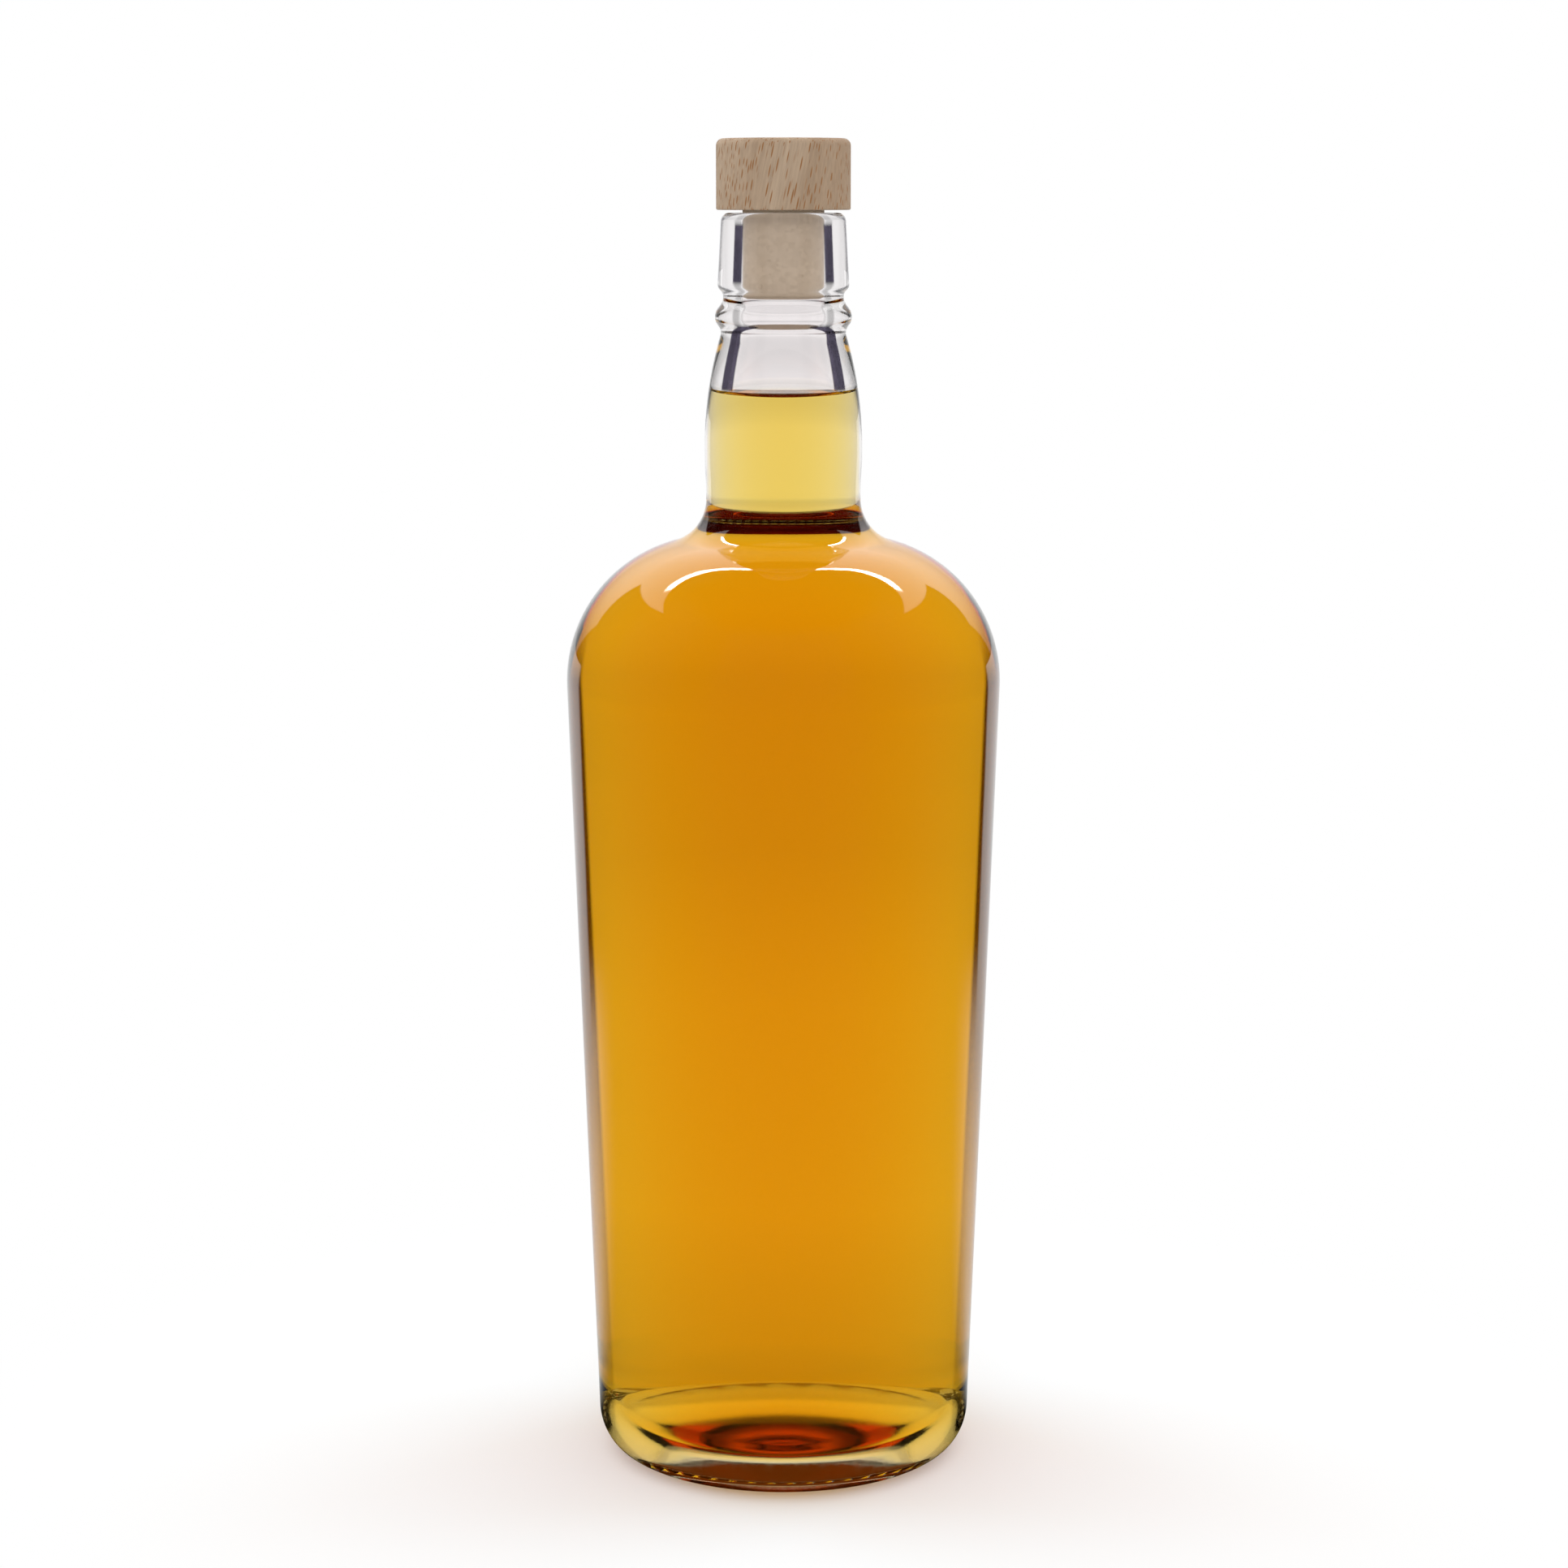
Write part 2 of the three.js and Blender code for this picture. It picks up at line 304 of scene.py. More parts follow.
def shoulder(outline, sizes, arc, fillet, wall):
    """Body and shoulder up to the neck: a straight taper, the shoulder arc and the neck fillet"""
    centre = (sizes.widest_radius - sizes.shoulder_arc, sizes.widest_height)
    foot = outline.points[-1]
    away = (foot[0] - centre[0], foot[1] - centre[1])
    start = math.atan2(away[1], away[0]) + math.acos(arc / math.hypot(*away))
    height = fillet_height(sizes, arc, fillet, wall)
    end = math.atan2(height - centre[1], wall + fillet - centre[0])
    outline.arc(centre, arc, start, end)
    return outline.arc((wall + fillet, height), fillet, end - math.pi, -math.pi)


def cavity(sizes, gap):
    """Inside of the glass from the floor's middle to the neck, drawn a gap clear of the wall"""
    floor = sizes.floor_thickness + gap
    corner = sizes.floor_corner - gap
    wall = sizes.foot_radius - sizes.foot_wall - gap
    middle = floor + sizes.floor_step
    outline = Outline(sizes.floor_radius + gap, middle).dome(middle + sizes.floor_crown).reversed()
    outline.slope(wall - corner, floor).quarter(wall, floor + corner)
    arc = sizes.shoulder_arc - sizes.shoulder_wall - gap
    return shoulder(outline, sizes, arc, sizes.neck_inner_fillet + gap, sizes.neck_inner - gap)


def glass_outline(sizes, pads):
    """Whole section of the glass: punt, ring, body, neck and finish outside, then bore and cavity inside"""
    brim = GLASS_HIGH.z
    outline = Outline(sizes.punt_radius, sizes.punt_height)
    outline.dome(sizes.punt_height + sizes.punt_crown).reversed()
    outline.slope(sizes.bearing_radius - sizes.bearing_width / 2, pads.height)
    outline.line(sizes.bearing_radius + sizes.bearing_width / 2, pads.height)
    outline.quarter(sizes.foot_radius, sizes.heel_height)
    shoulder(outline, sizes, sizes.shoulder_arc, sizes.neck_fillet, sizes.waist_radius)
    outline.swell(sizes.bulge_radius, outline.points[-1][1] + sizes.bulge_rise)
    outline.bow(sizes.collar_groove, outline.points[-1][1] + sizes.taper_height)
    outline.swell(sizes.bead_radius, outline.points[-1][1] + sizes.bead_lower)
    outline.swell(sizes.finish_groove, outline.points[-1][1] + sizes.bead_upper)
    outline.swell(sizes.finish_lower, outline.points[-1][1] + sizes.ledge_height)
    outer = (sizes.finish_upper - sizes.lip_outer, brim - sizes.lip_outer)
    outline.arc(outer, sizes.lip_outer, 0, math.pi / 2)
    inner = (sizes.bore_radius + sizes.lip_inner, brim - sizes.lip_inner)
    outline.arc(inner, sizes.lip_inner, math.pi / 2, math.pi)
    outline.line(sizes.bore_radius, brim - sizes.bore_length)
    outline.line(sizes.neck_inner, brim - sizes.bore_length - sizes.bore_opening)
    outline.line(sizes.neck_inner, SPIRIT_HIGH.z)
    return outline.follow(cavity(sizes, 0).reversed())


def deselect_all():
    if bpy.context.object and bpy.context.object.mode != "OBJECT":
        bpy.ops.object.mode_set(mode="OBJECT")
    bpy.ops.object.select_all(action="DESELECT")


def turn_outline(name, outline, turns):
    """Extrudes a wire along the outline and spins it round the axis into a closed piece"""
    deselect_all()
    bpy.ops.mesh.primitive_circle_add(vertices=3, radius=1.0 * MM)
    piece = bpy.context.object
    piece.name = name
    bpy.ops.object.mode_set(mode="EDIT")
    bpy.ops.mesh.select_all(action="SELECT")
    bpy.ops.mesh.merge(type="CENTER")
    x, z = outline.points[0]
    bpy.ops.transform.translate(value=(x, 0, z))
    for radius, height in outline.points[1:]:
        step = (radius - x, 0, height - z)
        bpy.ops.mesh.extrude_region_move(TRANSFORM_OT_translate={"value": step})
        x, z = radius, height
    bpy.ops.mesh.select_all(action="SELECT")
    bpy.ops.mesh.spin(steps=turns, angle=2 * math.pi, center=(0, 0, 0), axis=(0, 0, 1))
    bpy.ops.mesh.select_all(action="SELECT")
    bpy.ops.mesh.remove_doubles(threshold=SAME_PLACE)
    bpy.ops.mesh.normals_make_consistent(inside=False)
    bpy.ops.object.mode_set(mode="OBJECT")
    bpy.ops.object.transform_apply(location=True, rotation=True, scale=True)
    bpy.ops.object.shade_smooth_by_angle(angle=CREASE)
    return piece


class NodeSheet:
    """Adds and wires the nodes of one material or world"""

    def __init__(self, tree):
        self.tree = tree
        self.tree.nodes.clear()
        self.column = 0

    def add(self, kind, inputs=None, **settings):
        node = self.tree.nodes.new(kind)
        self.column += 1
        node.location = (self.column * 180, -(self.column % 4) * 160)
        for key, value in settings.items():
            setattr(node, key, value)
        for key, value in (inputs or {}).items():
            if isinstance(value, bpy.types.NodeSocket):
                self.tree.links.new(value, node.inputs[key])
            else:
                node.inputs[key].default_value = value
        return node

    def math(self, operation, first, second=0.0):
        return self.add("ShaderNodeMath", {0: first, 1: second}, operation=operation).outputs[0]

    def times(self, first, *others):
        for other in others:
            first = self.math("MULTIPLY", first, other)
        return first

    def smooth_step(self, value, start, end, low=0.0, high=1.0):
        """Eases from the low to the high value between start and end"""
        inputs = {"Value": value, "From Min": start, "From Max": end, "To Min": low, "To Max": high}
        return self.add("ShaderNodeMapRange", inputs, interpolation_type="SMOOTHSTEP").outputs[0]

    def window(self, value, span, blur):
        """One inside the span, eased to nought over the blur within either end"""
        low, high = span
        rising = self.smooth_step(value, low, low + blur)
        return self.times(rising, self.smooth_step(value, high - blur, high, 1.0, 0.0))

    def ramp(self, factor, *stops):
        node = self.add("ShaderNodeValToRGB", {"Fac": factor})
        elements = node.color_ramp.elements
        while len(elements) < len(stops):
            elements.new(0.5)
        for element, (place, value) in zip(elements, stops):
            element.position = place
            element.color = (value, value, value, 1)
        return node.outputs["Color"]

    def between(self, factor, first, second):
        """Number that passes from the first to the second as the factor rises from nought to one"""
        return self.add("ShaderNodeMix", {0: factor, 2: first, 3: second}, data_type="FLOAT").outputs[0]

    def mix(self, factor, first, second, blend="MIX"):
        """Colour that passes from the first to the second in the same way"""
        inputs = {0: factor, 6: first, 7: second}
        return self.add("ShaderNodeMix", inputs, data_type="RGBA", blend_type=blend).outputs[2]

    def noise(self, space, scale, detail):
        inputs = {"Vector": space, "Scale": scale, "Detail": detail}
        return self.add("ShaderNodeTexNoise", inputs).outputs["Fac"]

    def cells(self, space, scale):
        return self.add("ShaderNodeTexVoronoi", {"Vector": space, "Scale": scale}).outputs

    def first_channel(self, colour_socket):
        return self.add("ShaderNodeSeparateColor", {0: colour_socket}).outputs[0]

    def bump(self, relief, strength, distance):
        inputs = {"Height": relief, "Strength": strength, "Distance": distance}
        return self.add("ShaderNodeBump", inputs).outputs["Normal"]


def new_material(name):
    material = bpy.data.materials.new(name)
    material.use_nodes = True
    return material, NodeSheet(material.node_tree)


def rgba(value):
    return (*value, 1.0)


def object_space(sheet, scale=(1, 1, 1), rotation=(0, 0, 0)):
    """Object coordinates, turned and then stretched"""
    place = sheet.add("ShaderNodeTexCoord").outputs["Object"]
    turned = sheet.add("ShaderNodeMapping", {"Vector": place, "Rotation": rotation})
    stretched = sheet.add("ShaderNodeMapping", {"Vector": turned.outputs[0], "Scale": scale})
    return stretched.outputs[0]


def round_axis(sheet):
    """Distance from the bottle's axis, and height"""
    place = sheet.add("ShaderNodeTexCoord").outputs["Object"]
    axes = sheet.add("ShaderNodeSeparateXYZ", {0: place}).outputs
    flat = sheet.add("ShaderNodeCombineXYZ", {0: axes[0], 1: axes[1], 2: 0.0}).outputs[0]
    radius = sheet.add("ShaderNodeVectorMath", {0: flat}, operation="LENGTH").outputs["Value"]
    return radius, axes[2]


def clear_surface(sheet, index, lamp_tint, inputs):
    """Bends light by the index, and lets the lamps light what is behind it, as real glass does"""
    bending = sheet.add("ShaderNodeBsdfPrincipled", {"IOR": index, "Transmission Weight": 1.0, **inputs})
    clear = sheet.add("ShaderNodeBsdfTransparent", {"Color": rgba(lamp_tint)})
    lamp_ray = sheet.add("ShaderNodeLightPath").outputs["Is Shadow Ray"]
    mixed = sheet.add("ShaderNodeMixShader", {0: lamp_ray, 1: bending.outputs[0], 2: clear.outputs[0]})
    return mixed.outputs[0]


def matt_surface(sheet, base, roughness, normal, gloss):
    inputs = {"Base Color": base, "Roughness": roughness, "Normal": normal, "Specular IOR Level": gloss}
    shader = sheet.add("ShaderNodeBsdfPrincipled", inputs)
    sheet.add("ShaderNodeOutputMaterial", {"Surface": shader.outputs[0]})


def painted_wall_bars(sheet, facing):
    """Mask of the painted shade: dark bars where the hollow neck and the finish show the dark inner edge of
    their thick wall
    """
    radius, height = round_axis(sheet)
    outer = sheet.smooth_step(radius, *BAR_RADII)
    neck, finish = (
        sheet.times(sheet.window(height, heights, blur), sheet.window(facing, turn, BAR_BLUR))
        for heights, blur, turn in (NECK_BAR, FINISH_BAR)
    )
    return sheet.times(outer, sheet.math("MAXIMUM", neck, finish))


def glass_material(colours, name, outside, roughness):
    """Clear flint glass against air or spirit: faint ripple of the mould, painted shade where it is seen
    edge on, and painted dark bars in the neck and the finish
    """
    material, sheet = new_material(name)
    ripple = sheet.noise(object_space(sheet, (60, 60, 22)), 1.0, 2.0)
    chill = sheet.noise(object_space(sheet), 900.0, 3.0)
    relief = sheet.math("ADD", ripple, sheet.times(chill, 0.012))
    facing = sheet.add("ShaderNodeLayerWeight", {"Blend": 0.5}).outputs["Facing"]
    height = round_axis(sheet)[1]
    # Painted shade: mask of the dark line painted up either edge of the body
    line = sheet.times(
        sheet.smooth_step(height, *BODY_LINE_START),
        sheet.smooth_step(height, *BODY_LINE_END),
        sheet.smooth_step(facing, *BODY_LINE_TURN),
    )
    tint_and_painted_shade = sheet.mix(line, rgba(colours.glass), rgba(colours.painted_edge_shade))
    # Painted shade: dark bars painted into the neck and the finish
    tint_and_painted_shade = sheet.mix(painted_wall_bars(sheet, facing), tint_and_painted_shade, rgba(colours.painted_bar_shade))
    inputs = {
        "Base Color": tint_and_painted_shade,
        "Roughness": sheet.times(chill, roughness),
        "Normal": sheet.bump(relief, 0.25, 0.25 * MM),
    }
    surface = clear_surface(sheet, GLASS_INDEX / outside, GLASS_LAMP_TINT, inputs)
    sheet.add("ShaderNodeOutputMaterial", {"Surface": surface})
    return material


def spirit_material(colours):
    """Amber spirit that deepens with the way light takes through it"""
    material, sheet = new_material("amber_spirit")
    surface = clear_surface(sheet, AIR_INDEX, SPIRIT_LAMP_TINT, {"Base Color": WHITE, "Roughness": 0.0})
    inputs = {"Color": rgba(colours.spirit), "Density": SPIRIT_DENSITY}
    depth = sheet.add("ShaderNodeVolumeAbsorption", inputs)
    sheet.add("ShaderNodeOutputMaterial", {"Surface": surface, "Volume": depth.outputs[0]})
    return material


def surface_material(colours, edge):
    """Calm surface of the spirit, where light bends between it and the air, with a dark rim painted on its
    underside as painted shade, deepening toward its edge
    """
    material, sheet = new_material("spirit_surface")
    # Painted shade: mask of the dark rim painted on the surface's underside
    rim = sheet.smooth_step(round_axis(sheet)[0], edge - RIM_INNER, edge - RIM_OUTER)
    rim = sheet.times(rim, sheet.add("ShaderNodeNewGeometry").outputs["Backfacing"])
    haze = sheet.noise(object_space(sheet), 40.0, 1.0)
    inputs = {
        "Base Color": sheet.mix(rim, WHITE, rgba(colours.painted_rim_shade)),
        "Roughness": 0.0,
        "Normal": sheet.bump(haze, 0.02, 0.1 * MM),
    }
    surface = clear_surface(sheet, SPIRIT_INDEX, SURFACE_LAMP_TINT, inputs)
    sheet.add("ShaderNodeOutputMaterial", {"Surface": surface})
    return material


def beech_material(colours):
    """Untreated beech with its grain up the head: soft rings, fine pores and short ray flecks"""
    material, sheet = new_material("beech")
    lean = (0, math.radians(-12), 0)
    rings = sheet.noise(object_space(sheet, (160, 60, 14), lean), 1.0, 3.0)
    fibres = sheet.noise(object_space(sheet, (2600, 2600, 110), lean), 1.0, 4.0)
    flecks = sheet.cells(object_space(sheet, (2000, 2000, 180), lean), 1.0)
    ring = sheet.ramp(rings, (0.35, 0.0), (0.65, 1.0))
    base = sheet.mix(ring, rgba(colours.beech_pale), rgba(colours.beech_deep))
    base = sheet.mix(1.0, base, sheet.ramp(fibres, (0.3, 0.86), (0.7, 1.08)), "MULTIPLY")
    spindle = sheet.ramp(flecks["Distance"], (0.26, 1.0), (0.38, 0.0))
    chosen = sheet.ramp(sheet.first_channel(flecks["Color"]), (0.30, 0.0), (0.50, 1.0))
    mark = sheet.times(spindle, chosen)
    base = sheet.mix(mark, base, rgba(colours.beech_fleck))
    relief = sheet.math("SUBTRACT", fibres, sheet.times(mark, 0.6))
    rough = sheet.math("ADD", sheet.times(fibres, 0.15), 0.55)
    matt_surface(sheet, base, rough, sheet.bump(relief, 0.35, 0.05 * MM), 0.35)
    return material


def cork_material(colours):
    """Fine even cork of small pressed grains"""
    material, sheet = new_material("cork")
    grains = sheet.cells(object_space(sheet), 1100.0)
    pores = sheet.cells(object_space(sheet), 420.0)
    cloud = sheet.noise(object_space(sheet), 260.0, 4.0)
    shade = sheet.times(sheet.first_channel(grains["Color"]), 0.35)
    shade = sheet.math("ADD", shade, sheet.times(cloud, 0.35))
    base = sheet.mix(shade, rgba(colours.cork_pale), rgba(colours.cork_deep))
    pit = sheet.ramp(pores["Distance"], (0.06, 1.0), (0.16, 0.0))
    base = sheet.mix(sheet.times(pit, 0.45), base, rgba(colours.cork_deep))
    relief = sheet.math("SUBTRACT", cloud, pit)
    rough = sheet.math("ADD", sheet.times(cloud, 0.2), 0.7)
    matt_surface(sheet, base, rough, sheet.bump(relief, 0.5, 0.08 * MM), 0.3)
    return material


def give_materials(piece, *materials):
    piece.data.materials.clear()
    for material in materials:
        piece.data.materials.append(material)


# Places of the glass's materials, and how much of a face's normal points up on the floor, or down on
# the punt
WETTED, PUNT = 1, 2
LEVEL_SHARE = 0.3


class BOTTLE_OT_glass(Operator):
    """Turns the glass from its outline and joins the knurled pads to its bearing ring"""

    bl_idname = "bottle.glass"
    bl_label = "Blown glass"

    def execute(self, context):
        sizes, pads = context.scene.bottle_glass, context.scene.bottle_pads
        glass = turn_outline("blown_glass", glass_outline(sizes, pads), sizes.turns)
        colours = context.scene.bottle_colours
        give_materials(
            glass,
            glass_material(colours, "clear_glass", AIR_INDEX, POLISHED),
            glass_material(colours, "wetted_glass", SPIRIT_INDEX, POLISHED),
            glass_material(colours, "punt_glass", AIR_INDEX, PUNT_ROUGHNESS),
        )
        self.mark_faces(glass, sizes)
        knurls = self.knurls(sizes, pads)
        join = glass.modifiers.new("Knurls", "BOOLEAN")
        join.operation, join.solver, join.object = "UNION", "EXACT", knurls
        deselect_all()
        glass.select_set(True)
        context.view_layer.objects.active = glass
        bpy.ops.object.modifier_apply(modifier=join.name)
        bpy.data.objects.remove(knurls)
        bpy.ops.object.shade_smooth_by_angle(angle=CREASE)
        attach(glass, "bottle")
        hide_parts("glass_bottle")
        return {"FINISHED"}

    def mark_faces(self, glass, sizes):
        """Gives the inner faces that the spirit touches, and the punt, their own glass"""
        floor_top = sizes.floor_thickness + sizes.floor_step + sizes.floor_crown
        punt_top = sizes.punt_height + sizes.punt_crown
        punt_edge = sizes.punt_radius + sizes.bearing_width
        for face in glass.data.polygons:
            place, normal = face.center, face.normal
            outward = normal.x * place.x + normal.y * place.y
            floor = normal.z > LEVEL_SHARE and place.z < floor_top
            wall = outward < 0 and (place.z > punt_top or normal.z > 0)
            if place.z < SPIRIT_HIGH.z and (floor or wall):
                face.material_index = WETTED
            elif normal.z < -LEVEL_SHARE and math.hypot(place.x, place.y) < punt_edge:
                face.material_index = PUNT

    def knurls(self, sizes, pads):
        """One oval pad with drafted sides, copied round the ring at a slant"""
        deselect_all()
        height = pads.height + pads.root
        bpy.ops.mesh.primitive_cylinder_add(
            vertices=PAD_SIDES, radius=0.5, depth=height, location=(0, 0, 0)
        )
        pad = bpy.context.object
        pad.name = "knurls"
        bpy.ops.object.mode_set(mode="EDIT")
        bpy.ops.mesh.select_all(action="DESELECT")
        bpy.ops.object.mode_set(mode="OBJECT")
        for vertex in pad.data.vertices:
            vertex.select = vertex.co.z > 0
        grown = 1 + 2 * pads.draft * height / pads.height / pads.breadth
        bpy.ops.object.mode_set(mode="EDIT")
        bpy.ops.transform.resize(value=(grown, grown, 1))
        bpy.ops.mesh.select_all(action="SELECT")
        bpy.ops.transform.resize(value=(pads.size, pads.breadth, 1))
        bpy.ops.transform.rotate(value=-pads.slant, orient_axis="Z", center_override=(0, 0, 0))
        bpy.ops.transform.translate(value=(sizes.bearing_radius, 0, height / 2))
        bpy.ops.mesh.select_all(action="SELECT")
        for _ in range(pads.count - 1):
            bpy.ops.mesh.duplicate()
            bpy.ops.transform.rotate(
                value=2 * math.pi / pads.count, orient_axis="Z", center_override=(0, 0, 0)
            )
        bpy.ops.object.mode_set(mode="OBJECT")
        return pad


class BOTTLE_OT_spirit(Operator):
    """Fills the glass with spirit up to its concave surface"""

    bl_idname = "bottle.spirit"
    bl_label = "Amber spirit"

    def execute(self, context):
        sizes, liquid = context.scene.bottle_glass, context.scene.bottle_spirit
        edge = sizes.neck_inner + liquid.wetting
        level = SPIRIT_HIGH.z - liquid.meniscus_rise
        fill = cavity(sizes, -liquid.wetting).follow(self.meniscus(liquid, edge)).line(0, level)
        spirit = turn_outline("spirit_fill", fill, sizes.turns)
        give_materials(spirit, spirit_material(context.scene.bottle_colours))
        skin = self.meniscus(liquid, edge, SKIN_DROP).line(0, level - SKIN_DROP)
        surface = turn_outline("spirit_surface", skin, sizes.turns)
        give_materials(surface, surface_material(context.scene.bottle_colours, edge))
        self.face_up(surface)
        for piece in (spirit, surface):
            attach(piece, "bottle")
            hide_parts("amber_spirit")
        return {"FINISHED"}

    def meniscus(self, liquid, edge, drop=0.0):
        """Concave edge of the surface from the glass inward, lowered by the drop"""
        level = SPIRIT_HIGH.z - liquid.meniscus_rise
        outline = Outline(edge - liquid.meniscus_width, level - drop)
        return outline.quarter(edge, SPIRIT_HIGH.z - drop).reversed()

    def face_up(self, surface):
        """Turns the open surface's faces to the air above"""
        deselect_all()
        surface.select_set(True)
        bpy.context.view_layer.objects.active = surface
        if sum(face.normal.z * face.area for face in surface.data.polygons) < 0:
            bpy.ops.object.mode_set(mode="EDIT")
            bpy.ops.mesh.select_all(action="SELECT")
            bpy.ops.mesh.flip_normals()
            bpy.ops.object.mode_set(mode="OBJECT")


class BOTTLE_OT_shank(Operator):
    """Turns the cork shank with its chamfered end"""

    bl_idname = "bottle.shank"
    bl_label = "Cork shank"

    def execute(self, context):
        stopper = context.scene.bottle_stopper
        radius = SHANK_HIGH.x
        outline = Outline(0, SHANK_LOW.z).line(radius - stopper.shank_chamfer, SHANK_LOW.z)
        outline.line(radius, SHANK_LOW.z + stopper.shank_chamfer)
        outline.line(radius, SHANK_HIGH.z).line(0, SHANK_HIGH.z)
        shank = turn_outline("cork_plug", outline, context.scene.bottle_glass.turns)
        give_materials(shank, cork_material(context.scene.bottle_colours))
        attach(shank, "stopper")
        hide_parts("cork_shank")
        return {"FINISHED"}


class BOTTLE_OT_head(Operator):
    """Turns the beech head with its rounded edges and the socket for the shank"""

    bl_idname = "bottle.head"
    bl_label = "Wooden head"

    def execute(self, context):
        stopper = context.scene.bottle_stopper
        low, top, radius = HEAD_LOW.z, HEAD_HIGH.z, HEAD_HIGH.x
        socket = SHANK_HIGH.x + stopper.socket_gap
        round_top, round_low = stopper.head_top_round, stopper.head_lower_round
        socket_top = low + stopper.socket_depth
        outline = Outline(0, socket_top).line(socket, socket_top).line(socket, low)
        outline.arc((radius - round_low, low + round_low), round_low, -math.pi / 2, 0)
        outline.arc((radius - round_top, top - round_top), round_top, 0, math.pi / 2).line(0, top)
        head = turn_outline("beech_head", outline, context.scene.bottle_glass.turns)
        give_materials(head, beech_material(context.scene.bottle_colours))
        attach(head, "stopper")
        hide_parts("wooden_head")
        return {"FINISHED"}


CAMERA_DISTANCE = 0.78499
CAMERA_HEIGHT = 0.28385
CAMERA_SIDE = 0.00013
CAMERA_PITCH = math.radians(9.437)
CAMERA_LENS = 81.39
CAMERA_CLIP = 0.01

# Light is mirrored many times inside the filled glass
LIGHT_BOUNCES = 20
GLOSSY_BOUNCES = 8

# Place, width, height and power of each soft lamp
LAMP_AIM = (0, 0, 0.15)
LAMPS = {
    "softbox_left": ((-0.75, 0.35, 1.05), 0.7, 0.7, 5.0),
    "softbox_right": ((0.75, 0.35, 1.05), 0.7, 0.7, 5.0),
    "softbox_front": ((0.0, -1.6, 1.2), 1.2, 0.8, 6.0),
}

# Below, a bearing is in degrees off the line from the camera through the bottle, a rise in degrees above
# level, and a reach in metres from the bottle along the floor.

# Bearings of the darker stretches to either side, how softly they start and end, and how dark they are
SIDE_SHADE = (36, 73)
NEAR_SIDE_SHADE = (42, 84)
SHADE_START_BLUR, SHADE_END_BLUR = 10, 14
FLOOR_SHADE, WALL_SHADE = 0.3, 0.4

# Floor: its size, where its shadow runs out into white, and what the glass shows of it
FLOOR_SIZE = 24.0
FADE_REACH = (0.045, 0.2)
FAR_REACH = (0.3, 0.5)
SHADE_REACH = (1.55, 1.7)
GLOW_REACH = (0.038, 0.07)
MIRROR_REACH = (0.35, 0.55)
MIRROR_BEARING_NEAR, MIRROR_BEARING_FAR = (45, 75), (41, 45)
MIRROR_GAIN = (0.25, 0.9, 0.75, 0.95)
TABLE_REACH = 2.5
TABLE_LIGHT = (
    (0.016, 0.6),
    (0.04, 0.77),
    (0.09, 0.90),
    (0.2, 0.89),
    (0.34, 0.79),
    (0.52, 0.79),
    (0.8, 0.93),
)

# Surroundings: light that reaches the matt pieces and light seen through the glass, dimmer overhead
AMBIENT_LIGHT = 0.8
THROUGH_LIGHT = 0.93
OVERHEAD = (50, 62, 1.0, 0.16)

# Bright wall that the glass mirrors: its half width at each rise as a share of 90 degrees, over rises
# from low to high, its top, its light, and how that grows upward and toward the middle
WALL_RISES = (-10, 40)
WALL_HALF_WIDTH = ((0.0, 0.23), (0.216, 0.361), (0.466, 0.486), (0.87, 0.433))
WALL_TOP = (34, 36, 1.0, 0.0)
WALL_LIGHT = 1.6
WALL_UPWARD = (0, 34, 0.16, 1.0)
WALL_MIDDLE = (12, 34, 0.62, 0.16)

# Long softbox over the wall: rises of its upper and lower edge and their change with bearing, the lift of
# its middle, the gap in its middle, and the bright strip along its upper edge
BOX_TOP, BOX_TOP_FALL = 61.3, 0.2075
BOX_LOW, BOX_LOW_CLIMB = 23.9, 0.2467
BOX_LIFT = (10, 32, 6.0, 0.0)
GAP_BEARING = (4, 6)
GAP_RISE = (22, 24, 1.0, 0.0)
STRIP_UPPER = (0, 0.8)
STRIP_LOWER = (2.8, 4.2, 1.0, 0.0)
STRIP_START = (12, 20)
STRIP_END = (50, 58, 24.0, 0.0)


def bearing_of(sheet, axes):
    """Degrees off the line from the camera through the bottle, to either side"""
    return sheet.times(sheet.math("ARCTAN2", sheet.math("ABSOLUTE", axes[0]), axes[1]), DEGREES)


def side_shade(sheet, axes, bearings):
    """Darker upright stretch to either side, ahead and behind, which glass shows along its edges"""
    start, end = bearings
    turn = bearing_of(sheet, (axes[0], sheet.math("ABSOLUTE", axes[1])))
    rising = sheet.smooth_step(turn, start, start + SHADE_START_BLUR)
    return sheet.times(rising, sheet.smooth_step(turn, end - SHADE_END_BLUR, end, 1.0, 0.0))


def light_by_ray(sheet, path, direct, mirrored, through):
    """Light for rays that meet no glass, that a surface mirrors, and that have passed through glass"""
    bent = sheet.math("MAXIMUM", path["Is Glossy Ray"], path["Is Transmission Ray"])
    level = sheet.between(path["Is Transmission Ray"], mirrored, through)
    return bent, sheet.between(bent, direct, level)


